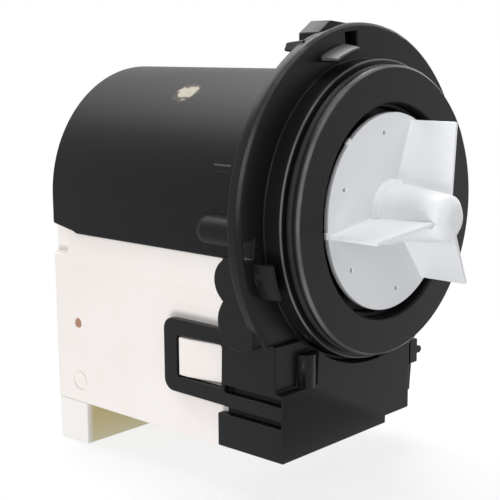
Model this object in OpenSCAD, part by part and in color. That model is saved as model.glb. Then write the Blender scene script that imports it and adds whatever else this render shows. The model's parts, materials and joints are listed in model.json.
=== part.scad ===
// Washer drain pump: a magnet rotor turns an impeller in front of a round flange.
// Millimetres, Z up, rotor axis along Y, front at negative Y.
// The origin is on the rotor axis at the flange's front face.

/* [Flange and spigot] */
// outside radius of the flange disc
flange_r = 44; // [43.6:0.2:46]
// thickness of the flange disc
flange_t = 3.2; // [2.8:0.1:3.6]
// radius of the spigot that enters the casing
spigot_r = 35.6; // [35.2:0.1:36]
// length of the spigot in front of the flange
spigot_len = 4.9; // [4.6:0.1:5.2]
// width of the seal groove behind the front ring
groove_w = 2; // [1.8:0.1:2.4]
// radius of the collar's front ring
nose_r = 34.3; // [33.8:0.1:34.8]
// distance from the flange to the collar's front face
nose_len = 8.8; // [8.4:0.1:9.2]
// bore radius of the pump chamber
chamber_r = 25.4; // [25:0.1:26.2]

/* [Foot and snap loops] */
// half width of the foot and of the snap loops
foot_half_w = 33.4; // [33.4:0.1:34.4]
// front face of the foot, in front of the flange
foot_front = 3.6; // [3:0.1:4.4]
// right end of the foot's front block
foot_right = 15.8; // [14:0.1:17]
// underside of the foot below the axis
foot_drop = 54.6; // [53:0.2:55.6]
// height of the grooves in the foot's side
slot_h = 1.9; // [1.4:0.1:2.2]
// width of the bars of the snap loop
loop_bar = 4; // [3.6:0.1:4.6]

/* [Motor cover] */
// outside radius of the tunnel-shaped cover
cover_r = 33; // [32.8:0.1:33.6]
// wall of the cover
cover_t = 1.5; // [1.2:0.1:1.6]
// back face of the cover behind the flange
cover_end = 77.4; // [77:0.1:80]
// lower edge of the cover below the axis
cover_drop = 9.4; // [8.8:0.1:10]

/* [Coil box] */
// back face of the coil box behind the flange
box_back = 81.6; // [81.2:0.1:83]
// wall of the coil box
box_wall = 1.5; // [1.2:0.1:1.8]
// underside of the coil box below the axis
box_drop = 56; // [55.6:0.1:58]
// height of the connector shroud under the box
shroud_h = 11.4; // [10:0.1:13]

/* [Impeller] */
// radius of the impeller's disc
disc_r = 23.4; // [22.6:0.1:24.2]
// number of blades
blade_count = 3; // [3:1:5]
// thickness of a blade
blade_t = 1; // [0.9:0.1:1.4]
// height of the blades in front of the disc
blade_h = 12.4; // [11.4:0.1:13.4]
// rise of a blade's front edge toward the hub
blade_rise = 3.2; // [2.4:0.1:3.4]
// hub radius at the disc
hub_r = 6.8; // [6.6:0.1:7.4]

/* [Rotor and stator] */
// radius of the rotor shaft
shaft_r = 2; // [1.9:0.05:2.1]
// radius of the magnet
magnet_r = 12.6; // [12.2:0.1:12.9]
// length of the magnet and of the stator core
core_len = 28; // [26:0.5:34]
// inside radius of the rotor tube
tube_bore = 13.3; // [13.3:0.1:13.6]
// width of a core leg
leg_w = 10; // [9.5:0.5:10.5]
// build-up of a winding on its bobbin
coil_t = 5.6; // [4.6:0.2:5.8]

/* [Hidden] */
$fn = 96;
// clearances
fit_gap = 0.02;
slip_gap = 0.1;
run_gap = 0.04;
// housing
rim = 0.8;
edge = 0.6;
overlap = 1;
groove_r = nose_r - 1.9;
groove_end = spigot_len + groove_w;
chamber_floor = -2;
chamber_step = -5;
step_in = 1;
lead_in = 0.6;
plug_r = 15.3;
plug_end = 20;
tube_wall = 1.5;
tube_r = tube_bore + tube_wall;
neck_r = plug_r + 2.4;
tube_end = cover_end - cover_t - 4.2;
plug_mid = 8.9;
seat_in = 8;
seat_end = tube_end - 1.8;
seat_y = seat_end - 6;
seat_ring_y = 9;
seat_wall = 2.1;
foot_relief = 1.2;
foot_top = 27.5;
lip_x = 6;
lip_h = 1.8;
skirt_y = 8;
skirt_back = 15.2;
skirt_top = 24;
side_back = 13.2;
corner_x = -21;
corner_y = -1.4;
corner_low = 38.4;
corner_top = 26;
bump_r = 2.6;
bump_h = 8;
bump_x = corner_x - bump_r + 0.2;
slot_a = 39.4;
slot_b = 44.6;
slot_d = 2;
slot_lead = 0.6;
cheek_out = 37;
cheek_in = cover_r + 0.2;
cheek_back = 11.2;
cheek_low = 28;
cheek_top = -8;
cheek_bumps = [[8.7, -13.4, 5.4], [6.6, -22.8, 6.5]];
boss_r = 3.6;
boss_y0 = flange_t + 0.8;
boss_y1 = 18.8;
boss_in = 0.4;
boss_z = -3;
ear_out = 2.4;
ear_drop = 43.8;
ear_h = 6.6;
ear_back = 11.9;
nub_r = 1;
low_back = 16.8;
loop_top = 26;
loop_low = loop_top + 18.4;
loop_back = 35;
loop_end_bar = loop_bar + 0.6;
loop_r = 3;
window_r = 0.8;
catch_gap = 0.4;
catch_in = 0.2;
catch_flat = 3;
pocket_d = 5.4;
pocket_back = 8;
// corners as X and the distance in from the flange's rim
pocket_corners = [[-7.2, 2.4], [-2.8, 2], [-2.5, 5.4], [-6.9, 4.8]];
block_corners = [[-14.4, 9], [1, 9.6], [1, 0.6], [-10, -0.4], [-14.4, 2.4]];
latch_r = flange_r - 4;
latch_wall = 1.7;
latch_slope = 0.8;
latch_a0 = 101.5;
latch_a1 = 114.3;
hook_a = 25.3;
hook_tilt = 52.3;
hook_in = 2;
hook_w = 2.4;
hook_len = 6;
// coil box
cover_in = cover_r - cover_t;
tail_len = 9.4;
tail_rise = 2.2;
box_half_w = cover_in - slip_gap;
panel_in = 0.4;
panel_half_w = box_half_w - panel_in;
inner_half_w = panel_half_w - box_wall;
box_front = skirt_back + slip_gap;
box_top = -6;
roof_z = -7.8;
notch_y = box_back - 8;
notch_x = 28.2;
notch_z = -16;
corner_r = 3;
band_z = -18;
neck_gap = 0.4;
core_mid = 45;
core_y0 = core_mid - core_len / 2;
core_y1 = core_mid + core_len / 2;
core_bore = tube_r + 0.4;
leg_x = 11;
leg_mid = leg_x + leg_w / 2;
core_low = -box_drop + box_wall + 2.4;
yoke_h = 9.5;
yoke_top = core_low + yoke_h;
pole_low = -19;
pole_top = 24;
pole_half_w = 25;
pole_slit = 6;
core_gap = 0.1;
bobbin_t = 1.2;
rivet_r = 1.6;
rivet_head = 1;
rivet_x = 20.5;
rivet_z = 5;
rivet_places = [
    [-rivet_x, rivet_z], [rivet_x, rivet_z],
    [-leg_mid, core_low + yoke_h / 2], [leg_mid, core_low + yoke_h / 2]
];
flange_gap = 0.4;
cutout_w = 12;
cutout_h = 8;
cutout_t = 3.2;
coil_back = core_y1 + bobbin_t + coil_t;
coil_mid = (yoke_top + pole_low) / 2;
// connector
plug_x0 = -28.5;
plug_x1 = -8.5;
plug_y1 = box_back - 3.6;
plug_y0 = plug_y1 - 8;
plug_top = 4;
tab_w = 6.3;
tab_t = 0.8;
tab_y = plug_y1 - 2.8;
tab_low = 4.3;
tab_left = -23.2;
tab_right = -13.8;
pin_y = box_back - 10.7;
pin_z = -34.1;
pin_r = 1.3;
pin_in = 0.3;
mark_y = box_back - 11.1;
mark_z = -49.8;
mark_r = 2.7;
mark_w = 0.5;
mark_d = 0.3;
shroud_front = 1.8;
shroud_back = 1.6;
shroud_side = 2.5;
socket_side = 0.9;
socket_end = 1.3;
socket_roof = 2;
tab_top = 2;
// impeller
disc_front = -8.4;
disc_t = 1.5;
blade_a0 = 68.6;
blade_in = 0.7;
blade_r = disc_r - blade_in;
blade_front = disc_front - blade_h;
nose_h = 5.6;
hub_nose = blade_front - nose_h;
hub_end_r = hub_r - 1;
root_w = 0.9;
root_h = 1.8;
vent_count = 6;
vent_a0 = 38.6;
vent_at = 19;
vent_r = 0.5;
cavity_r = 4.4;
cavity_front = -20.4;
cap_front = -10;
cap_back = -7.4;
dog_y0 = -20;
dog_y1 = -11;
dog_gap = 0.2;
dog_r = cavity_r - dog_gap;
dog_ring = shaft_r + 1;
dog_a = 70;
dog_half_a = 30;
pad_gap_a = 0.4;
pad_a = 12;
pad_mid_a = dog_half_a + pad_gap_a + pad_a / 2;
lug_a = dog_a + 180;
lug_half_a = 40;
tip_gap = 0.4;
// rotor
shaft_front = blade_front - 2;
shaft_back = seat_end - 0.8;
carrier_front = 21.2;
carrier_back = seat_y - 1;
carrier_r = 5;
carrier_rim_r = 10;
carrier_rim = 2;
bush_r = 5;
bush_front = 9.8;
washer_r = 4.6;
carrier_face = -4.6;
carrier_lip_r = 20;
seal_r = 7;
seal_back = -0.4;
seal_in = 0.2;
seal_lip = 0.8;
seal_cut = 2;
seal_wall = 1.4;
ring_w = 2.4;
ring_d = 2;
bush_end_gap = 0.6;
cup_gap = 0.1;

// cylinder along the rotor axis
module rod(y0, y1, r) {
    translate([0, y0, 0])
        rotate([-90, 0, 0])
            cylinder(r = r, h = y1 - y0);
}

// turned shape about the rotor axis from points of radius and Y
module lathe(points) {
    rotate([-90, 0, 0])
        rotate_extrude()
            polygon(points);
}

// ring about the rotor axis
module ring(y0, y1, r_out, r_in) {
    lathe([[r_in, y0], [r_out, y0], [r_out, y1], [r_in, y1]]);
}

// flat shape drawn in X and Z, given depth along Y
module slice(y0, y1) {
    translate([0, y1, 0])
        rotate([90, 0, 0])
            linear_extrude(y1 - y0)
                children();
}

// flat shape drawn in Y and Z, given depth along X
module side_slice(x0, x1) {
    translate([x0, 0, 0])
        rotate([90, 0, 90])
            linear_extrude(x1 - x0)
                children();
}

// box between two corners
module block(low, high) {
    translate(low)
        cube(high - low);
}

// flat rectangle with round corners
module round_rect(low, high, r) {
    translate([low[0] + r, low[1]])
        square([high[0] - low[0] - 2 * r, high[1] - low[1]]);
    translate([low[0], low[1] + r])
        square([high[0] - low[0], high[1] - low[1] - 2 * r]);
    for (u = [low[0] + r, high[0] - r], v = [low[1] + r, high[1] - r])
        translate([u, v])
            circle(r);
}

// flat sector of a ring, from angle a0 to a1
module sector(r_out, r_in, a0, a1) {
    reach = 2 * r_out;
    mid = (a0 + a1) / 2;
    intersection() {
        difference() {
            circle(r_out);
            circle(r_in);
        }
        polygon([
            [0, 0],
            [reach * cos(a0), reach * sin(a0)],
            [reach * cos(mid), reach * sin(mid)],
            [reach * cos(a1), reach * sin(a1)]
        ]);
    }
}

// the same shape on both sides of the part
module both_sides() {
    children();
    mirror([1, 0, 0])
        children();
}

// outline of the latch pocket at the top of the flange
module pocket_outline() {
    polygon([for (c = pocket_corners) [c[0], flange_r - c[1]]]);
}

// block behind the flange that closes the top pocket
module pocket_block() {
    slice(flange_t - overlap, pocket_back)
        polygon([for (c = block_corners) [c[0], flange_r - c[1]]]);
}

// curved latch tab in front of the flange, beside its pocket
module latch_tab() {
    intersection() {
        lathe([
            [latch_r - latch_wall, flange_t - overlap], [latch_r, flange_t - overlap], [latch_r, 0],
            [latch_r - latch_slope, -spigot_len], [latch_r - latch_wall, -spigot_len]
        ]);
        slice(-spigot_len - overlap, flange_t)
            sector(flange_r, chamber_r, latch_a0, latch_a1);
    }
}

// places the three latches round the flange
module latch_places() {
    for (a = [0, -90, 90])
        rotate([0, a, 0])
            children();
}

// snap loop on one side of the foot
module snap_loop() {
    side_slice(-foot_half_w, -box_half_w - slip_gap)
        difference() {
            round_rect([side_back - loop_bar, -loop_low], [loop_back, -loop_top], loop_r);
            round_rect(
                [skirt_back + 2 * slip_gap, loop_bar - loop_low],
                [loop_back - loop_end_bar, -loop_top - loop_bar], window_r
            );
        }
}

// side cheek behind the flange with two rounded bumps
module cheek() {
    side_slice(-cheek_out, -cheek_in) {
        translate([flange_t - overlap, -cheek_low])
            square([cheek_back - flange_t + overlap, cheek_low + cheek_top]);
        for (b = cheek_bumps)
            intersection() {
                translate([b[0], b[1]])
                    circle(b[2]);
                translate([flange_t - overlap, b[1] - b[2] - overlap])
                    square([b[0] + b[2], 2 * b[2] + 2 * overlap]);
            }
    }
}

// small block with a round nub on the right side of the foot
module side_ear() {
    slice(skirt_y - slot_lead, ear_back) {
        translate([foot_half_w - overlap, -ear_drop - ear_h / 2])
            square([overlap + ear_out, ear_h]);
        translate([foot_half_w + ear_out - nub_r / 2, -ear_drop - nub_r])
            square([1.5 * nub_r, 2 * nub_r]);
        translate([foot_half_w + ear_out + nub_r, -ear_drop])
            circle(nub_r);
    }
}

module front_housing() {
    color([0.06, 0.06, 0.065])
    difference() {
        union() {
            lathe([
                [0, flange_t], [flange_r, flange_t], [flange_r, rim], [flange_r - rim, 0],
                [spigot_r, 0], [spigot_r, -spigot_len], [groove_r, -spigot_len],
                [groove_r, -groove_end], [nose_r, -groove_end], [nose_r, edge - nose_len],
                [nose_r - edge, -nose_len], [0, -nose_len]
            ]);
            ring(flange_t - overlap, seat_ring_y, cover_in - slip_gap, cover_in - slip_gap - seat_wall);
            rod(flange_t - overlap, plug_end + tube_wall, neck_r);
            rod(plug_end, tube_end, tube_r);
            block([-foot_half_w, -foot_front, -foot_drop], [lip_x, skirt_y + overlap, -foot_top]);
            block(
                [lip_x - overlap, -foot_front, lip_h - foot_drop],
                [foot_right, skirt_y + overlap, -foot_top]
            );
            block([-foot_half_w, skirt_y, -foot_drop], [foot_half_w, skirt_back, -skirt_top]);
            side_ear();
            both_sides() {
                cheek();
                snap_loop();
                block(
                    [-foot_half_w, skirt_back - overlap, -foot_drop],
                    [-panel_half_w - 2 * slip_gap, low_back, -slot_b - slot_h]
                );
            }
            pocket_block();
            latch_places()
                latch_tab();
            rotate([0, -hook_a, 0])
                translate([0, flange_t - overlap, flange_r - hook_in])
                    rotate([0, hook_tilt, 0])
                        translate([-hook_w, 0, -hook_w / 2])
                            linear_extrude(hook_w)
                                polygon([[0, 0], [hook_len / 2, 0], [hook_len / 5, hook_len]]);
        }
        lathe([
            [0, -nose_len - overlap], [chamber_r + lead_in + overlap, -nose_len - overlap],
            [chamber_r, lead_in - nose_len], [chamber_r, chamber_step], [chamber_r - step_in, chamber_step],
            [chamber_r - step_in, chamber_floor], [plug_r, chamber_floor], [plug_r, plug_end],
            [tube_bore, plug_end], [tube_bore, seat_y], [seat_in, seat_y], [seat_in, seat_end],
            [0, seat_end]
        ]);
        ring(-foot_front - overlap, 0, spigot_r + foot_relief, spigot_r);
        latch_places()
            slice(-overlap, pocket_d)
                pocket_outline();
        for (s = [[slot_a, skirt_back - slot_lead], [slot_b, skirt_back + overlap]])
            block(
                [-foot_half_w - overlap, slot_lead - foot_front, -s[0] - slot_h],
                [slot_d - foot_half_w, s[1], -s[0]]
            );
        block(
            [-foot_half_w - overlap, skirt_back - slot_lead, -slot_b - slot_h],
            [-box_half_w - 2 * slip_gap, skirt_back + overlap, -loop_low]
        );
        block(
            [-foot_half_w - overlap, -foot_front - overlap, -corner_low],
            [corner_x, corner_y, -corner_top]
        );
    }
    color([0.06, 0.06, 0.065])
    difference() {
        translate([bump_x, corner_y - 2 * slip_gap, -corner_low - 2 * slip_gap])
            cylinder(r = bump_r, h = bump_h);
        ring(-foot_front - overlap, 0, spigot_r + foot_relief, spigot_r);
    }
}

module spigot_oring() {
    color([0.03, 0.03, 0.03])
        rotate([-90, 0, 0])
            rotate_extrude()
                translate([groove_r + groove_w / 2, -spigot_len - groove_w / 2])
                    circle(groove_w / 2 - fit_gap, $fn = 48);
}

// tunnel-shaped solid with its round top on the rotor axis
module tunnel(y0, y1, r, drop) {
    slice(y0, y1) {
        circle(r);
        translate([-r, -drop])
            square([2 * r, drop]);
    }
}

module motor_cover() {
    color([0.07, 0.07, 0.075])
    difference() {
        union() {
            intersection() {
                tunnel(flange_t + slip_gap, cover_end, cover_r, cover_drop);
                block(
                    [-cover_r - overlap, 0, -cover_drop],
                    [cover_r + overlap, cover_end + overlap, cover_r + overlap]
                );
            }
            both_sides()
                translate([boss_in - cover_r, 0, boss_z]) {
                    translate([0, boss_y0, 0])
                        rotate([-90, 0, 0])
                            cylinder(r = boss_r, h = boss_y1 - boss_y0);
                    translate([0, boss_y1, 0])
                        sphere(r = boss_r);
                }
        }
        intersection() {
            tunnel(0, cover_end - cover_t, cover_in, cover_drop + overlap);
            block(
                [-cover_in, -overlap, -cover_drop - overlap],
                [cover_in, cover_end, cover_in]
            );
        }
        side_slice(-cover_r - overlap, cover_r + overlap)
            polygon([
                [cover_end - tail_len, -cover_drop - overlap], [cover_end - tail_len, -cover_drop],
                [cover_end - 0.85 * tail_len, tail_rise / 4 - cover_drop],
                [cover_end - 0.4 * tail_len, 0.6 * tail_rise - cover_drop],
                [cover_end + overlap, tail_rise - cover_drop],
                [cover_end + overlap, -cover_drop - overlap]
            ]);
    }
}

// catch on the coil box that fills a snap loop
module box_catch() {
    catch_back = loop_back - loop_end_bar - catch_gap;
    translate([0, 0, loop_bar - loop_low + catch_gap])
        linear_extrude(loop_low - loop_top - 2 * loop_bar - 2 * catch_gap)
            polygon([
                [panel_in - panel_half_w, skirt_back + 2 * catch_gap],
                [-panel_half_w - panel_in, skirt_back + 2 * catch_gap],
                [catch_in - foot_half_w, catch_back - catch_flat], [catch_in - foot_half_w, catch_back],
                [panel_in - panel_half_w, catch_back]
            ]);
}

module coil_box() {
    color([0.93, 0.92, 0.9])
    difference() {
        union() {
            translate([0, 0, -box_drop])
                linear_extrude(box_drop + roof_z) {
                    translate([-panel_half_w, box_front])
                        square([2 * panel_half_w, box_back - box_front - 2 * corner_r]);
                    round_rect([-panel_half_w, box_back - 4 * corner_r], [panel_half_w, box_back], corner_r);
                }
            block([-panel_half_w, box_front, roof_z - overlap], [panel_half_w, notch_y, box_top]);
            block([-box_half_w, box_front, band_z], [box_half_w, notch_y, box_top]);
            both_sides()
                box_catch();
        }
        block(
            [-inner_half_w, box_front + box_wall, box_wall - box_drop],
            [inner_half_w, notch_y - box_wall, 0]
        );
        block(
            [-inner_half_w, notch_y - 2 * box_wall, box_wall - box_drop],
            [inner_half_w, box_back - box_wall, notch_z - box_wall]
        );
        block(
            [box_wall - notch_x, notch_y - 2 * box_wall, notch_z - 2 * box_wall],
            [notch_x - box_wall, box_back - box_wall, roof_z - box_wall]
        );
        both_sides()
            block([-box_half_w - overlap, notch_y, notch_z], [-notch_x, box_back + overlap, 0]);
        rod(0, plug_end + tube_wall + overlap, neck_r + neck_gap);
        block(
            [plug_x0 - socket_side - slip_gap, plug_y0 - socket_end - slip_gap, -box_drop - overlap],
            [plug_x1 + socket_side + slip_gap, plug_y1 + socket_end + slip_gap, box_wall - box_drop + overlap]
        );
        translate([-panel_half_w - overlap, pin_y, pin_z])
            rotate([0, 90, 0])
                cylinder(r = pin_r, h = box_wall + 2 * overlap);
        translate([-panel_half_w - overlap, mark_y, mark_z])
            rotate([0, 90, 0])
                difference() {
                    cylinder(r = mark_r, h = overlap + mark_d);
                    cylinder(r = mark_r - mark_w, h = overlap + mark_d);
                }
    }
}

module winding_pin() {
    color([0.72, 0.36, 0.2])
        translate([pin_in - panel_half_w, pin_y, pin_z])
            rotate([0, 90, 0])
                cylinder(r = pin_r - fit_gap, h = box_wall + 2 * pin_in);
}

// spade tab at a place in X, with a gap all round for its slot
module tab_blade(x, z0, z1, gap) {
    block(
        [x - tab_w / 2 - gap, tab_y - tab_t / 2 - gap, z0],
        [x + tab_w / 2 + gap, tab_y + tab_t / 2 + gap, z1]
    );
}

module connector_shroud() {
    color([0.85, 0.82, 0.62])
    difference() {
        union() {
            block(
                [-panel_half_w, plug_y0 - shroud_front, -box_drop - shroud_h],
                [plug_x1 + shroud_side, plug_y1 + shroud_back, -box_drop]
            );
            block(
                [plug_x0 - socket_side, plug_y0 - socket_end, -box_drop - overlap],
                [plug_x1 + socket_side, plug_y1 + socket_end, plug_top + socket_roof - box_drop]
            );
        }
        block(
            [plug_x0, plug_y0, -box_drop - shroud_h - overlap],
            [plug_x1, plug_y1, plug_top - box_drop]
        );
        for (x = [tab_left, tab_right])
            tab_blade(x, -box_drop, plug_top + socket_roof + tab_top - box_drop, fit_gap);
    }
}

module terminal_left() {
    color([0.75, 0.72, 0.65])
        tab_blade(tab_left, tab_low - box_drop - shroud_h, plug_top + socket_roof + tab_top - box_drop, 0);
}

module terminal_right() {
    color([0.75, 0.72, 0.65])
        tab_blade(tab_right, tab_low - box_drop - shroud_h, plug_top + socket_roof + tab_top - box_drop, 0);
}

module impeller() {
    color([0.92, 0.93, 0.94])
    difference() {
        union() {
            lathe([
                [0, disc_front + disc_t], [disc_r, disc_front + disc_t], [disc_r, disc_front],
                [hub_r + root_w, disc_front], [hub_r + root_w, disc_front - root_h],
                [hub_r, disc_front - root_h - edge], [hub_end_r, blade_front - edge],
                [0.9 * hub_end_r, hub_nose + 0.3 * nose_h], [0.65 * hub_end_r, hub_nose + 0.1 * nose_h],
                [0.35 * hub_end_r, hub_nose], [0, hub_nose]
            ]);
            for (i = [0:blade_count - 1])
                rotate([0, -blade_a0 - i * 360 / blade_count, 0])
                    linear_extrude(blade_t, center = true)
                        polygon([
                            [cavity_r + edge, blade_front - blade_rise],
                            [blade_r, blade_front],
                            [blade_r, disc_front + disc_t / 3],
                            [cavity_r + edge, disc_front + disc_t / 3]
                        ]);
        }
        difference() {
            rod(cavity_front, 0, cavity_r);
            slice(dog_y0, dog_y1)
                sector(cavity_r + overlap, dog_ring + dog_gap, lug_a - lug_half_a, lug_a + lug_half_a);
        }
        rod(shaft_front - tip_gap, 0, shaft_r + run_gap);
        for (i = [0:vent_count - 1])
            rotate([0, -vent_a0 - i * 360 / vent_count, 0])
                translate([vent_at, disc_front - overlap, 0])
                    rotate([-90, 0, 0])
                        cylinder(r = vent_r, h = disc_t + 2 * overlap);
    }
}

module hub_cap() {
    color([0.86, 0.87, 0.88])
        ring(cap_front, cap_back, cavity_r - fit_gap, shaft_r + run_gap);
}

module drive_dog() {
    color([0.2, 0.2, 0.22])
        slice(dog_y0, dog_y1) {
            difference() {
                circle(dog_ring);
                circle(shaft_r + fit_gap);
            }
            sector(dog_r, dog_ring - dog_gap, dog_a - dog_half_a, dog_a + dog_half_a);
        }
}

module clutch_buffer() {
    color([0.03, 0.03, 0.03])
        slice(dog_y0, dog_y1)
            for (s = [-1, 1])
                sector(
                    dog_r, dog_ring + fit_gap,
                    dog_a + s * pad_mid_a - pad_a / 2, dog_a + s * pad_mid_a + pad_a / 2
                );
}

module rotor_shaft() {
    color([0.7, 0.7, 0.72])
        rod(shaft_front, shaft_back, shaft_r);
}

module magnet_carrier() {
    color([0.25, 0.25, 0.27])
        lathe([
            [shaft_r + fit_gap, carrier_front], [washer_r, carrier_front],
            [washer_r, core_y0 - carrier_rim], [carrier_rim_r, core_y0 - carrier_rim],
            [carrier_rim_r, core_y0 - fit_gap], [carrier_r, core_y0 - fit_gap],
            [carrier_r, carrier_back], [shaft_r + fit_gap, carrier_back]
        ]);
}

module rotor_magnet() {
    color([0.3, 0.3, 0.32])
        ring(core_y0, core_y1, magnet_r, carrier_r + fit_gap);
}

module front_washer() {
    color([0.85, 0.85, 0.8])
        ring(plug_end + slip_gap, carrier_front - fit_gap, washer_r, shaft_r + fit_gap);
}

module rear_washer() {
    color([0.85, 0.85, 0.8])
        ring(carrier_back + fit_gap, seat_y - slip_gap, washer_r, shaft_r + fit_gap);
}

module bearing_carrier() {
    color([0.12, 0.12, 0.13])
        lathe([
            [seal_r, carrier_face], [carrier_lip_r, carrier_face], [carrier_lip_r, chamber_floor - fit_gap],
            [plug_r - fit_gap, chamber_floor - fit_gap], [plug_r - fit_gap, plug_mid - ring_w / 2],
            [plug_r - ring_d, plug_mid - ring_w / 2], [plug_r - ring_d, plug_mid + ring_w / 2],
            [plug_r - fit_gap, plug_mid + ring_w / 2], [plug_r - fit_gap, plug_end - fit_gap],
            [bush_r, plug_end - fit_gap], [bush_r, bush_front], [dog_ring, bush_front],
            [dog_ring, seal_back], [seal_r, seal_back]
        ]);
}

module carrier_seal() {
    color([0.04, 0.04, 0.04])
        rotate([-90, 0, 0])
            rotate_extrude()
                translate([plug_r - ring_d / 2, plug_mid])
                    circle(ring_d / 2 - fit_gap, $fn = 48);
}

module front_bush() {
    color([0.6, 0.45, 0.25])
        ring(bush_front + fit_gap, plug_end - fit_gap, bush_r - fit_gap, shaft_r + run_gap);
}

module shaft_seal() {
    color([0.05, 0.05, 0.05])
        lathe([
            [shaft_r + run_gap, carrier_face + seal_in], [shaft_r + seal_lip, carrier_face + seal_in],
            [shaft_r + 2 * seal_lip, carrier_face + seal_cut], [seal_r - seal_wall, carrier_face + seal_cut],
            [seal_r - seal_wall, carrier_face + seal_in], [seal_r - fit_gap, carrier_face + seal_in],
            [seal_r - fit_gap, seal_back - fit_gap], [shaft_r + seal_wall, seal_back - fit_gap],
            [shaft_r + run_gap, carrier_face + seal_lip]
        ]);
}

module rear_bush() {
    color([0.6, 0.45, 0.25])
        ring(seat_y, seat_end - bush_end_gap, bush_r - fit_gap, shaft_r + run_gap);
}

module rear_bush_cup() {
    color([0.04, 0.04, 0.04])
        lathe([
            [bush_r, seat_y], [seat_in - fit_gap, seat_y], [seat_in - fit_gap, seat_end - fit_gap],
            [0, seat_end - fit_gap], [0, seat_end - bush_end_gap + cup_gap],
            [bush_r, seat_end - bush_end_gap + cup_gap]
        ]);
}

// outline of the stator core, one leg each side and a yoke below
module core_outline() {
    difference() {
        union() {
            intersection() {
                translate([-pole_half_w, pole_low])
                    square([2 * pole_half_w, pole_top - pole_low]);
                circle(cover_in - core_gap);
            }
            translate([-leg_x - leg_w, core_low])
                square([2 * (leg_x + leg_w), pole_low - core_low + overlap]);
        }
        circle(core_bore);
        translate([-leg_x, yoke_top])
            square([2 * leg_x, pole_low - yoke_top]);
        translate([-pole_slit / 2, pole_low - overlap])
            square([pole_slit, pole_top - pole_low + 2 * overlap]);
        for (p = rivet_places)
            translate(p)
                circle(rivet_r + fit_gap);
    }
}

module stator_core() {
    color([0.45, 0.45, 0.47])
        slice(core_y0, core_y1)
            core_outline();
}

module core_rivets() {
    color([0.6, 0.6, 0.62])
        for (p = rivet_places)
            translate([p[0], 0, p[1]]) {
                rod(core_y0 - rivet_head, core_y1 + rivet_head, rivet_r);
                rod(core_y0 - rivet_head, core_y0 - fit_gap, 1.5 * rivet_r);
                rod(core_y1 + fit_gap, core_y1 + rivet_head, 1.5 * rivet_r);
            }
}

// rectangular frame round a core leg
module leg_frame(z0, z1, inner, outer) {
    difference() {
        block(
            [leg_mid - leg_w / 2 - outer, core_y0 - outer, z0],
            [leg_mid + leg_w / 2 + outer, core_y1 + outer, z1]
        );
        block(
            [leg_mid - leg_w / 2 - inner, core_y0 - inner, z0 - overlap],
            [leg_mid + leg_w / 2 + inner, core_y1 + inner, z1 + overlap]
        );
    }
}

module bobbin() {
    spread = bobbin_t + slip_gap + coil_t + flange_gap;
    leg_frame(yoke_top + slip_gap, pole_low - slip_gap, slip_gap, bobbin_t);
    leg_frame(yoke_top + slip_gap, yoke_top + slip_gap + bobbin_t, slip_gap, spread);
    leg_frame(pole_low - slip_gap - bobbin_t, pole_low - slip_gap, slip_gap, spread);
}

module winding() {
    leg_frame(
        yoke_top + bobbin_t + 2 * slip_gap, pole_low - bobbin_t - 2 * slip_gap,
        bobbin_t + fit_gap, bobbin_t + coil_t
    );
}

module bobbin_right() {
    color([0.88, 0.86, 0.8])
        bobbin();
}

module bobbin_left() {
    color([0.88, 0.86, 0.8])
        mirror([1, 0, 0])
            bobbin();
}

module winding_right() {
    color([0.7, 0.35, 0.15])
        winding();
}

module winding_left() {
    color([0.7, 0.35, 0.15])
        mirror([1, 0, 0])
            winding();
}

module thermal_cutout() {
    color([0.9, 0.9, 0.85])
        block(
            [-leg_mid - cutout_w / 2, coil_back + fit_gap, coil_mid - cutout_h / 2],
            [cutout_w / 2 - leg_mid, coil_back + cutout_t, coil_mid + cutout_h / 2]
        );
}

front_housing();
spigot_oring();
motor_cover();
coil_box();
winding_pin();
connector_shroud();
terminal_left();
terminal_right();
impeller();
hub_cap();
drive_dog();
clutch_buffer();
rotor_shaft();
magnet_carrier();
rotor_magnet();
front_washer();
rear_washer();
bearing_carrier();
carrier_seal();
front_bush();
shaft_seal();
rear_bush();
rear_bush_cup();
stator_core();
core_rivets();
bobbin_left();
bobbin_right();
winding_left();
winding_right();
thermal_cutout();
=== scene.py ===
import json
import math
import bmesh
import bpy
from mathutils import Matrix, Vector


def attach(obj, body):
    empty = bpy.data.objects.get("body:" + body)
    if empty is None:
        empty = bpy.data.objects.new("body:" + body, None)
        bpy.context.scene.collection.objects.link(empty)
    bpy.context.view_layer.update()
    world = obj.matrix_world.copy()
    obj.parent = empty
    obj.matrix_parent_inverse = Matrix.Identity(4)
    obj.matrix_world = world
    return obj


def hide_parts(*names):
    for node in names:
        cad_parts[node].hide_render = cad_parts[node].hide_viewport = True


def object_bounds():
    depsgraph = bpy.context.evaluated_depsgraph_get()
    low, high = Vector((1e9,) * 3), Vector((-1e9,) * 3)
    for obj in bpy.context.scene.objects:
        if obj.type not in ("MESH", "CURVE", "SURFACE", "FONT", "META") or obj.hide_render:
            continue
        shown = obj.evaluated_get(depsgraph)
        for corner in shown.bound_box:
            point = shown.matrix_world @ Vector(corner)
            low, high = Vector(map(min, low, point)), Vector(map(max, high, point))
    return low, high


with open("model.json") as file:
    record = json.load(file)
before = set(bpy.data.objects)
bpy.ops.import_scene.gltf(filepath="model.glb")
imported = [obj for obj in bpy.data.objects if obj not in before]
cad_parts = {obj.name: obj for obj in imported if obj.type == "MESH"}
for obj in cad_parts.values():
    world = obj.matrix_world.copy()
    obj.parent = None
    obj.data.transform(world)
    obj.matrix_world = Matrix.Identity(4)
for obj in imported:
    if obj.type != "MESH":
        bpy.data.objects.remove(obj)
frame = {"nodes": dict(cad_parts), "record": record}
cadLow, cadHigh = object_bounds()
nodes = frame["nodes"]
mm = 0.001
scene = bpy.context.scene
scene.view_settings.view_transform = "Standard"
print("frame loaded,", len(nodes), "nodes")


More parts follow.
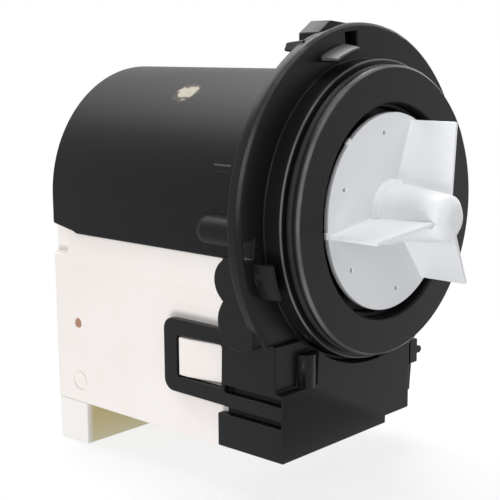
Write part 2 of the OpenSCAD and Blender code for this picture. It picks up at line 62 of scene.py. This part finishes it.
class Wire:
    # a shader socket that can be used in sums
    def __init__(self, tree, socket):
        self.tree, self.socket = tree, socket

    def node(self, kind, settings, inputs, out=0):
        made = self.tree.nodes.new(kind)
        for key, value in settings.items():
            setattr(made, key, value)
        for key, value in inputs.items():
            if isinstance(value, Wire):
                self.tree.links.new(value.socket, made.inputs[key])
            else:
                made.inputs[key].default_value = value
        return Wire(self.tree, made.outputs[out])

    def math(self, operation, *values):
        return self.node("ShaderNodeMath", {"operation": operation}, dict(enumerate(values)))

    def __add__(self, other):
        return self.math("ADD", self, other)

    def __sub__(self, other):
        return self.math("SUBTRACT", self, other)

    def __rsub__(self, other):
        return self.math("SUBTRACT", other, self)

    def __mul__(self, other):
        return self.math("MULTIPLY", self, other)

    def __truediv__(self, other):
        return self.math("DIVIDE", self, other)

    def __rtruediv__(self, other):
        return self.math("DIVIDE", other, self)

    def __pow__(self, other):
        return self.math("POWER", self, other)

    def __lt__(self, other):
        return self.math("LESS_THAN", self, other)

    def __gt__(self, other):
        return self.math("GREATER_THAN", self, other)

    def __abs__(self):
        return self.math("ABSOLUTE", self)

    __radd__ = __add__
    __rmul__ = __mul__

    def step(self, low, high):
        # smooth 0 to 1 between two values
        smooth = {"interpolation_type": "SMOOTHSTEP"}
        return self.node("ShaderNodeMapRange", smooth, {"Value": self, "From Min": low, "From Max": high})

    def axes(self):
        split = self.node("ShaderNodeSeparateXYZ", {}, {0: self}).socket.node
        return [Wire(self.tree, socket) for socket in split.outputs]

    def stretch(self, scale):
        return self.node("ShaderNodeMapping", {}, {"Vector": self, "Scale": scale})

    def noise(self, scale, detail=3.0, rough=0.5):
        inputs = {"Vector": self, "Scale": scale, "Detail": detail, "Roughness": rough}
        return self.node("ShaderNodeTexNoise", {}, inputs)

    def blend(self, first, second):
        # this value mixes two colours: sockets 6 and 7 and output 2 are the node's colour ones
        colours = {0: self, 6: first, 7: second}
        return self.node("ShaderNodeMix", {"data_type": "RGBA"}, colours, 2)

    def bump(self, strength, distance):
        return self.node("ShaderNodeBump", {}, {"Height": self, "Strength": strength, "Distance": distance})


def newFinish(name, fixed):
    # fixed holds what is the same all over the surface
    made = bpy.data.materials.new(name)
    made.use_nodes = True
    tree = made.node_tree
    shader = tree.nodes["Principled BSDF"]
    for key, value in fixed.items():
        shader.inputs[key].default_value = value
    place = Wire(tree, tree.nodes.new("ShaderNodeTexCoord").outputs["Object"])
    return made, shader, place


def feed(shader, key, wire):
    wire.tree.links.new(wire.socket, shader.inputs[key])


def rgb(red, green, blue):
    return (red, green, blue, 1.0)


def fromAxis(x, z):
    # distance from the shaft's axis
    return (x * x + z * z) ** 0.5


def nearTo(wire, middle, reach):
    # 1 close to a value, 0 from the reach on
    return 1 - abs(wire - middle).step(0.3 * reach, reach)


# black moulding: dark body, fine grain, slow drift of gloss and faint scuffs
blackLook = {
    "dark": rgb(0.006, 0.006, 0.0064), "light": rgb(0.0105, 0.0105, 0.011), "scuff": rgb(0.04, 0.04, 0.042),
    "shine": 0.16, "gloss": (0.28, 0.38), "drift": 38.0, "scuffs": 260.0, "patches": 24.0,
    "grain": 2600.0, "ripple": 500.0, "grainHeight": 0.016 * mm,
}
innerLook = {**blackLook, "dark": rgb(0.02, 0.02, 0.021), "light": rgb(0.034, 0.034, 0.036)}

# the front housing's turned lines, and painted highlights: pale edges on the collar's nose and spigot and on
# the upper rim, and lighter tops on the latch tab and the boss
housingLinesAndHighlights = {
    "paintedHighlight": rgb(0.13, 0.13, 0.133), "paintedBossHighlight": rgb(0.24, 0.24, 0.245), "patches": 70.0,
    "ring": {"inside": 26.2 * mm, "front": -8.3 * mm, "pitch": 1.5 * mm, "height": 0.9},
    "nose": {"radius": 34.0 * mm, "reach": 0.45 * mm, "front": -8.0 * mm},
    "spigot": {"radius": 35.5 * mm, "depth": -4.8 * mm, "reach": 0.4 * mm},
    "rim": {"radius": 43.6 * mm, "reach": 0.5 * mm, "depth": 0.3 * mm, "depthReach": 0.6 * mm},
    "rimUpper": {"from": -4.0 * mm, "to": 14.0 * mm, "share": 0.5},
    "tab": {"outside": 38.9 * mm, "front": -0.4 * mm, "above": 20.0 * mm, "share": 0.6},
    "boss": {"from": -3.2 * mm, "to": -0.8 * mm, "below": 1.0 * mm, "share": 0.9},
    "bossPlace": {"aside": 30.0 * mm, "behind": 4.7 * mm},
}


def addLinesAndPaintedHighlights(place, body, height, linesAndHighlights):
    x, y, z = place.axes()
    radius = fromAxis(x, z)
    ring = linesAndHighlights["ring"]
    turns = radius * (2 * math.pi / ring["pitch"])
    face = (y < ring["front"]) * (radius > ring["inside"])
    height = height + turns.math("SINE", turns) * face * ring["height"]
    nose, spigot, rim, upper = linesAndHighlights["nose"], linesAndHighlights["spigot"], linesAndHighlights["rim"], linesAndHighlights["rimUpper"]
    # painted highlights along the collar's nose and spigot edges and the upper part of the rim, broken up by
    # noise
    noseEdge = nearTo(radius, nose["radius"], nose["reach"]) * (y < nose["front"])
    spigotEdge = nearTo(radius, spigot["radius"], spigot["reach"])
    spigotEdge = spigotEdge * nearTo(y, spigot["depth"], spigot["reach"])
    rimEdge = nearTo(radius, rim["radius"], rim["reach"]) * nearTo(y, rim["depth"], rim["depthReach"])
    rimEdge = rimEdge * z.step(upper["from"], upper["to"]) * upper["share"]
    edgeHighlights = (noseEdge + spigotEdge + rimEdge) * (place.noise(linesAndHighlights["patches"], 4.0).step(0.3, 0.65) * 0.7 + 0.3)
    tab, boss, bossPlace = linesAndHighlights["tab"], linesAndHighlights["boss"], linesAndHighlights["bossPlace"]
    # painted highlight on the latch tab's top face
    tabHighlight = (radius > tab["outside"]) * (y < tab["front"]) * (z > tab["above"])
    # painted highlight on the top of the boss
    bossHighlight = z.step(boss["from"], boss["to"]) * (z < boss["below"])
    bossHighlight = bossHighlight * (abs(x) > bossPlace["aside"]) * (y > bossPlace["behind"])
    # the masks blend the body toward the pale painted highlight tones
    body = (edgeHighlights + tabHighlight * tab["share"]).blend(body, linesAndHighlights["paintedHighlight"])
    return (bossHighlight * boss["share"]).blend(body, linesAndHighlights["paintedBossHighlight"]), height


def blackFinish(name, look, linesAndHighlights=None):
    made, shader, place = newFinish(name, {"Specular IOR Level": look["shine"]})
    drift = place.noise(look["drift"], 4.0)
    grain = place.noise(look["grain"], 2.0)
    patches = place.noise(look["patches"]).step(0.5, 0.7)
    scuffs = place.noise(look["scuffs"], 6.0, 0.7).step(0.66, 0.78) * patches
    body = (scuffs * 0.35).blend(drift.blend(look["dark"], look["light"]), look["scuff"])
    height = grain * 0.6 + place.noise(look["ripple"]) * 0.4
    if linesAndHighlights:
        body, height = addLinesAndPaintedHighlights(place, body, height, linesAndHighlights)
    feed(shader, "Base Color", body)
    low, high = look["gloss"]
    feed(shader, "Roughness", drift * (high - low) + grain * 0.08 + (low - 0.04))
    feed(shader, "Normal", height.bump(0.35, look["grainHeight"]))
    return made


# short raised lines on the cover beside the flange
coverTicks = {
    "radius": 33.0 * mm, "angles": (159.0, 162.0), "heights": (0.12 * mm, 0.05 * mm), "width": 0.5 * mm,
    "from": 14.1 * mm, "to": 19.4 * mm, "sides": 24,
}

# motor cover: the same plastic, smoother, with a tan inspection dab near the top and a painted highlight on
# the raised lines
coverLook = {
    "dark": rgb(0.005, 0.0047, 0.0052), "light": rgb(0.009, 0.0083, 0.0092), "tint": rgb(0.98, 0.92, 0.99),
    "shine": 0.135, "gloss": (0.4, 0.48), "drift": 30.0, "grain": 2200.0, "grainHeight": 0.02 * mm,
    "flow": 420.0, "flowStretch": (1.0, 0.12, 1.0),
    "dab": {
        "at": (-18.3 * mm, 40.7 * mm, 27.4 * mm), "size": 3.3 * mm,
        "ragged": 1.6, "blots": 560.0, "clots": 900.0,
        "tan": rgb(0.36, 0.33, 0.25), "pale": rgb(0.5, 0.48, 0.4), "thin": rgb(0.12, 0.1, 0.07),
    },
    "tickHighlight": {
        "pale": rgb(0.11, 0.11, 0.11), "share": 0.5, "outside": coverTicks["radius"] + 0.06 * mm,
        "above": 9.5 * mm, "before": 20.0 * mm,
    },
}


def coverFinish(look):
    fixed = {"Specular IOR Level": look["shine"], "Specular Tint": look["tint"]}
    made, shader, place = newFinish("coverPlastic", fixed)
    drift = place.noise(look["drift"], 4.0)
    flow = place.stretch(look["flowStretch"]).noise(look["flow"])
    grain = place.noise(look["grain"], 2.0)
    body = (drift * 0.6 + flow * 0.4).blend(look["dark"], look["light"])
    dab, tickHighlight = look["dab"], look["tickHighlight"]
    away = place.node("ShaderNodeVectorMath", {"operation": "DISTANCE"}, {0: place, 1: dab["at"]}, 1)
    ragged = away / dab["size"] + (place.noise(dab["blots"], 4.0, 0.65) - 0.5) * dab["ragged"]
    thick = 1 - ragged.step(0.72, 0.86)
    thin = (1 - ragged.step(0.8, 1.25)) * 0.55
    paint = place.noise(dab["clots"]).blend(dab["tan"], dab["pale"])
    x, y, z = place.axes()
    # painted highlight on the raised lines beside the flange
    lines = (fromAxis(x, z) > tickHighlight["outside"]) * (z > tickHighlight["above"]) * (x < 0.0) * (y < tickHighlight["before"])
    body = (lines * tickHighlight["share"]).blend(thin.blend(body, dab["thin"]), tickHighlight["pale"])
    feed(shader, "Base Color", thick.blend(body, paint))
    low, high = look["gloss"]
    feed(shader, "Roughness", drift * (high - low) + grain * 0.06 + (low - 0.03) + thick * 0.25)
    feed(shader, "Normal", (grain * 0.5 + flow * 0.3 + thick * 2.0).bump(0.3, look["grainHeight"]))
    return made


# pale mouldings: slight cloudiness in tone and gloss, fine orange-peel bump
paleLook = {
    "shine": 0.45, "clouds": 26.0, "fine": 700.0, "specks": 1500.0, "speckTone": 0.82, "swell": 140.0,
    "bumpHeight": 0.02 * mm,
}


def paleFinish(name, first, second, gloss, shade=None):
    made, shader, place = newFinish(name, {"Specular IOR Level": paleLook["shine"]})
    cloudy = place.noise(paleLook["clouds"], 4.0)
    fine = place.noise(paleLook["fine"])
    specks = place.noise(paleLook["specks"], 2.0).step(0.72, 0.8)
    tone = cloudy.step(0.3, 0.7).blend(first, second)
    if shade:
        tone = shade(tone, place)
    dull = rgb(*[paleLook["speckTone"] * v for v in first[:3]])
    feed(shader, "Base Color", (specks * 0.12).blend(tone, dull))
    low, high = gloss
    feed(shader, "Roughness", cloudy * (high - low) + fine * 0.06 + (low - 0.03))
    peel = fine * 0.7 + place.noise(paleLook["swell"]) * 0.3
    feed(shader, "Normal", peel.bump(0.18, paleLook["bumpHeight"]))
    return made


# connector shroud: painted shade, darker and browner toward the box above it, and painted light that makes
# its side face as pale as the box
ivoryLook = {
    "paintedShade": rgb(0.6, 0.5, 0.25), "paintedShadeRise": (-71.5 * mm, -58.0 * mm),
    "wall": rgb(0.85, 0.83, 0.8), "wallEdge": (-30.7 * mm, -28.5 * mm),
}


def ivoryShade(tone, place):
    x, y, z = place.axes()
    # painted shade under the box
    tone = z.step(*ivoryLook["paintedShadeRise"]).blend(tone, ivoryLook["paintedShade"])
    # painted light on the side face, as pale as the box
    return x.step(*ivoryLook["wallEdge"]).blend(ivoryLook["wall"], tone)


# metals: drawn or ground streaks along one axis
metalLook = {"streaks": 1800.0, "stains": 160.0, "streakHeight": 0.01 * mm}


def metalFinish(name, first, second, gloss, stretch, metallic=1.0):
    made, shader, place = newFinish(name, {"Metallic": metallic})
    streaks = place.stretch(stretch).noise(metalLook["streaks"])
    stain = place.noise(metalLook["stains"], 4.0)
    feed(shader, "Base Color", (streaks * 0.5 + stain * 0.5).blend(first, second))
    low, high = gloss
    feed(shader, "Roughness", streaks * (high - low) + low)
    feed(shader, "Normal", streaks.bump(0.25, metalLook["streakHeight"]))
    return made


# matt rubber: nearly black with a dusty bloom
rubberLook = {
    "dark": rgb(0.008, 0.008, 0.008), "dusty": rgb(0.022, 0.022, 0.021), "shine": 0.35, "gloss": 0.62,
    "bloom": 90.0, "grain": 1600.0, "grainHeight": 0.02 * mm,
}


def rubberFinish(look):
    made, shader, place = newFinish("sealRubber", {"Specular IOR Level": look["shine"]})
    bloom = place.noise(look["bloom"], 4.0).step(0.45, 0.75)
    feed(shader, "Base Color", bloom.blend(look["dark"], look["dusty"]))
    feed(shader, "Roughness", bloom * 0.15 + look["gloss"])
    feed(shader, "Normal", place.noise(look["grain"], 2.0).bump(0.3, look["grainHeight"]))
    return made


# one finish for each material slot
paleLooks = {
    "white_plastic": {
        "name": "boxPlastic", "gloss": (0.36, 0.46),
        "first": rgb(0.84, 0.79, 0.76), "second": rgb(0.88, 0.84, 0.81),
    },
    "ivory_plastic": {
        "name": "ivoryPlastic", "gloss": (0.34, 0.46),
        "first": rgb(0.72, 0.69, 0.48), "second": rgb(0.77, 0.74, 0.54), "shade": ivoryShade,
    },
    "impeller_plastic": {
        "name": "impellerPlastic", "gloss": (0.28, 0.38),
        "first": rgb(0.775, 0.79, 0.808), "second": rgb(0.83, 0.84, 0.855),
    },
    "bobbin_plastic": {
        "name": "bobbinPlastic", "gloss": (0.4, 0.5),
        "first": rgb(0.7, 0.66, 0.55), "second": rgb(0.76, 0.72, 0.61),
    },
    "washer_plastic": {
        "name": "washerPlastic", "gloss": (0.35, 0.5),
        "first": rgb(0.62, 0.61, 0.56), "second": rgb(0.68, 0.67, 0.62),
    },
}
metalLooks = {
    "steel": {
        "name": "groundSteel", "gloss": (0.2, 0.36), "stretch": (1.0, 0.06, 1.0),
        "first": rgb(0.55, 0.55, 0.57), "second": rgb(0.66, 0.66, 0.68),
    },
    "core_steel": {
        "name": "coreSteel", "gloss": (0.4, 0.6), "stretch": (0.1, 8.0, 0.1),
        "first": rgb(0.3, 0.3, 0.32), "second": rgb(0.42, 0.41, 0.42),
    },
    "magnet": {
        "name": "ferrite", "gloss": (0.5, 0.7), "stretch": (1.0, 1.0, 1.0), "metallic": 0.15,
        "first": rgb(0.045, 0.045, 0.05), "second": rgb(0.085, 0.085, 0.09),
    },
    "bronze": {
        "name": "sinteredBronze", "gloss": (0.4, 0.6), "stretch": (1.0, 1.0, 1.0),
        "first": rgb(0.42, 0.28, 0.13), "second": rgb(0.58, 0.42, 0.22),
    },
    "copper": {
        "name": "copperWire", "gloss": (0.25, 0.42), "stretch": (1.0, 1.0, 6.0),
        "first": rgb(0.38, 0.2, 0.14), "second": rgb(0.5, 0.3, 0.22),
    },
    "terminal_metal": {
        "name": "tinnedBrass", "gloss": (0.22, 0.36), "stretch": (1.0, 1.0, 0.08),
        "first": rgb(0.6, 0.57, 0.5), "second": rgb(0.7, 0.68, 0.62),
    },
}
finishes = {
    "black_plastic": blackFinish("housingPlastic", blackLook, housingLinesAndHighlights),
    "inner_plastic": blackFinish("innerPlastic", innerLook),
    "cover_plastic": coverFinish(coverLook),
    "rubber": rubberFinish(rubberLook),
    **{slot: paleFinish(**look) for slot, look in paleLooks.items()},
    **{slot: metalFinish(**look) for slot, look in metalLooks.items()},
}
slotOf = {row["node"]: row["material_slot"] for row in frame["record"]["subparts"]}
for name, part in nodes.items():
    part.data.materials.clear()
    part.data.materials.append(finishes[slotOf[name]])
print("finishes on", len(slotOf), "nodes")


def addPiece(name, shape, body, slot, smoothUnder=35):
    # a finished bmesh becomes a piece that rides on a body
    mesh = bpy.data.meshes.new(name)
    shape.to_mesh(mesh)
    shape.free()
    mesh.shade_smooth()
    mesh.set_sharp_from_angle(angle=math.radians(smoothUnder))
    mesh.materials.append(finishes[slot])
    piece = bpy.data.objects.new(name, mesh)
    scene.collection.objects.link(piece)
    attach(piece, body)
    return piece


# moulded pieces: the CAD shape with its edges rounded where there is room
mouldings = {
    "front_housing": {"piece": "housingMoulding", "round": 0.36 * mm},
    "motor_cover": {"piece": "coverMoulding", "round": 0.5 * mm},
    "coil_box": {"piece": "boxMoulding", "round": 0.4 * mm},
    "connector_shroud": {"piece": "shroudMoulding", "round": 0.4 * mm},
    "impeller": {"piece": "impellerMoulding", "round": 0.28 * mm},
}
rounding = {
    "segments": 3, "profile": 0.5, "corner": 28.0, "flat": 0.5, "weld": 0.005 * mm, "weldAfter": 0.002 * mm,
    "roomShare": 2.3, "lengthShare": 6.0, "tinyRun": 1e-12, "tinyReach": 1e-9,
}


def roomBeside(edge, face):
    # how far the face reaches from the middle of its edge
    start, end = (v.co for v in edge.verts)
    along = (end - start).normalized()
    middle = (start + end) / 2
    inward = face.normal.cross(along)
    if inward.dot(face.calc_center_median() - middle) < 0:
        inward = -inward
    room = math.inf
    for other in face.edges:
        if other is edge:
            continue
        a, b = (v.co - middle for v in other.verts)
        run = (a - b).dot(along)
        if a.dot(along) * b.dot(along) > 0 or abs(run) < rounding["tinyRun"]:
            continue
        reach = (a + (b - a) * (a.dot(along) / run)).dot(inward)
        if reach > rounding["tinyReach"]:
            room = min(room, reach)
    return room


def isCorner(edge):
    return len(edge.link_faces) == 2 and edge.calc_face_angle(0) > math.radians(rounding["corner"])


bodyOf = {name: body for body, names in frame["record"]["behaviour"]["bodies"].items() for name in names}
for name, look in mouldings.items():
    shape = bmesh.new()
    shape.from_mesh(nodes[name].data)
    bmesh.ops.remove_doubles(shape, verts=shape.verts, dist=rounding["weld"])
    flat = math.radians(rounding["flat"])
    bmesh.ops.dissolve_limit(shape, angle_limit=flat, verts=shape.verts[:], edges=shape.edges[:])
    corners = [e for e in shape.edges if isCorner(e)]
    needed = rounding["roomShare"] * look["round"]
    roomy = [e for e in corners if min(roomBeside(e, f) for f in e.link_faces) > needed]
    # a short edge that ends at an edge left sharp stays sharp too
    tight = {v for e in set(corners) - set(roomy) for v in e.verts}
    longEnough = rounding["lengthShare"] * look["round"]
    chosen = [e for e in roomy if not tight.intersection(e.verts) or e.calc_length() > longEnough]
    bmesh.ops.bevel(
        shape, geom=chosen, offset=look["round"], offset_type="OFFSET", segments=rounding["segments"],
        profile=rounding["profile"], affect="EDGES", clamp_overlap=False, material=-1,
    )
    bmesh.ops.remove_doubles(shape, verts=shape.verts, dist=rounding["weldAfter"])
    piece = addPiece(look["piece"], shape, bodyOf[name], slotOf[name])
    even = piece.modifiers.new("evenNormals", "WEIGHTED_NORMAL")
    even.keep_sharp = True
    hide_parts(name)
    print("rounded", name, len(chosen), "of", len(corners), "edges")


def roundAxis(angle, spot, size):
    # takes a unit shape to its size and spot, then round the shaft's axis
    turn = Matrix.Rotation(math.radians(-angle), 4, "Y")
    return turn @ Matrix.Translation(spot) @ Matrix.Diagonal((*size, 1.0))


shape = bmesh.new()
length = coverTicks["to"] - coverTicks["from"]
lying = Matrix.Rotation(math.pi / 2, 4, "X")
for angle, height in zip(coverTicks["angles"], coverTicks["heights"]):
    made = bmesh.ops.create_cone(
        shape, cap_ends=True, segments=coverTicks["sides"], radius1=1.0, radius2=1.0, depth=1.0, matrix=lying,
    )
    spot = (coverTicks["radius"], coverTicks["from"] + length / 2, 0)
    placed = roundAxis(angle, spot, (height, length, coverTicks["width"] / 2))
    bmesh.ops.transform(shape, matrix=placed, verts=made["verts"])
addPiece("coverTicks", shape, "housing", "cover_plastic")

# moulding nibs left on the rim of the impeller's disc
rimNibs = {
    "angles": (187.2, 131.9), "radius": 23.5 * mm, "depth": -7.7 * mm, "size": (1.0 * mm, 0.9 * mm, 1.7 * mm),
    "round": 0.22 * mm,
}
shape = bmesh.new()
for angle in rimNibs["angles"]:
    made = bmesh.ops.create_cube(shape, size=1.0)
    placed = roundAxis(angle, (rimNibs["radius"], rimNibs["depth"], 0), rimNibs["size"])
    bmesh.ops.transform(shape, matrix=placed, verts=made["verts"])
bmesh.ops.bevel(
    shape, geom=shape.edges[:], offset=rimNibs["round"], segments=rounding["segments"],
    profile=rounding["profile"], affect="EDGES", material=-1,
)
addPiece("rimNibs", shape, "impeller", "impeller_plastic")
print("small moulded details added")


# studio: pale floor that fades into a white backdrop, and soft lamps
studio = {
    "floorUnder": 0.3 * mm, "floorMiddle": 20.0 * mm, "floorSize": 0.6, "floorSides": 96,
    "floorTone": rgb(0.9, 0.9, 0.9), "fade": (0.1, 0.2), "clearNear": 0.78,
    "ambient": rgb(0.38, 0.38, 0.385), "backdrop": rgb(1.0, 1.0, 1.0),
    "aim": (-5.0 * mm, 25.0 * mm, -10.0 * mm),
    "lamps": {
        "topSoft": {"at": (0.1, 0.42, 0.7), "size": (1.0, 0.45), "watts": 7.5, "gloss": True},
        "leftSoft": {"at": (-0.75, -0.32, 0.28), "size": (0.35, 0.35), "watts": 1.6, "gloss": True},
        "leftLow": {"at": (-0.72, -0.13, -0.42), "size": (0.3, 0.3), "watts": 3.75, "gloss": False},
        "overFill": {"at": (0.12, -0.1, 0.78), "size": (0.3, 0.2), "watts": 2.4, "gloss": False},
        "frontRight": {"at": (0.395, -0.519, 0.406), "size": (0.6, 0.5), "watts": 1.25, "gloss": False},
    },
}
for name, look in studio["lamps"].items():
    lamp = bpy.data.lights.new(name, "AREA")
    lamp.shape, lamp.energy = "RECTANGLE", look["watts"]
    lamp.size, lamp.size_y = look["size"]
    holder = bpy.data.objects.new(name, lamp)
    holder.location, holder.visible_glossy = look["at"], look["gloss"]
    holder.rotation_mode = "QUATERNION"
    holder.rotation_quaternion = (Vector(studio["aim"]) - holder.location).to_track_quat("-Z", "Y")
    scene.collection.objects.link(holder)

# the camera and mirror-like surfaces see white, and only the ambient tone lights the object
world = bpy.data.worlds.new("backdrop")
scene.world = world
world.use_nodes = True
sky = world.node_tree
path = sky.nodes.new("ShaderNodeLightPath")
rays = ("Is Camera Ray", "Is Glossy Ray", "Is Transmission Ray")
straight, glossy, through = (Wire(sky, path.outputs[ray]) for ray in rays)
seen = straight.math("MAXIMUM", straight, glossy.math("MAXIMUM", glossy, through))
colour = seen.blend(studio["ambient"], studio["backdrop"])
feed(sky.nodes["Background"], "Color", colour)

shape = bmesh.new()
bmesh.ops.create_circle(shape, cap_ends=True, segments=studio["floorSides"], radius=studio["floorSize"])
under = (0, studio["floorMiddle"], cadLow.z - studio["floorUnder"])
bmesh.ops.translate(shape, verts=shape.verts, vec=under)
mesh = bpy.data.meshes.new("floor")
shape.to_mesh(mesh)
shape.free()
floor = bpy.data.objects.new("floor", mesh)
scene.collection.objects.link(floor)
fixed = {"Base Color": studio["floorTone"], "Roughness": 0.9, "Specular IOR Level": 0.1}
paper, shader, place = newFinish("floorPaper", fixed)
away = place.node("ShaderNodeVectorMath", {"operation": "LENGTH"}, {0: place}, 1)
gone = away.step(*studio["fade"]) * (1 - studio["clearNear"]) + studio["clearNear"]
clear = place.node("ShaderNodeBsdfTransparent", {}, {})
mixed = place.node("ShaderNodeMixShader", {}, {0: gone, 1: Wire(place.tree, shader.outputs[0]), 2: clear})
feed(place.tree.nodes["Material Output"], "Surface", mixed)
mesh.materials.append(paper)
print("studio set")

# camera at the photograph's angle
shot = {
    "azimuth": -47.5, "elevation": 10.34, "roll": -0.35, "lens": 82.98, "sensor": 36.0, "nearest": 10.0 * mm,
    "target": (-20.14 * mm, 18.22 * mm, -9.51 * mm), "distance": 276.55 * mm,
}
turn, rise = math.radians(shot["azimuth"]), math.radians(shot["elevation"])
back = Vector((math.sin(turn) * math.cos(rise), -math.cos(turn) * math.cos(rise), math.sin(rise)))
right = Vector((math.cos(turn), math.sin(turn), 0.0))
facing = Matrix((right, back.cross(right), back)).transposed()
facing = facing @ Matrix.Rotation(math.radians(shot["roll"]), 3, "Z")
stand = Matrix.Translation(Vector(shot["target"]) + back * shot["distance"])
lens = bpy.data.cameras.new("shot")
lens.lens, lens.sensor_width, lens.clip_start = shot["lens"], shot["sensor"], shot["nearest"]
camera = bpy.data.objects.new("shot", lens)
camera.matrix_world = stand @ facing.to_4x4()
scene.collection.objects.link(camera)
scene.camera = camera
print("camera set")
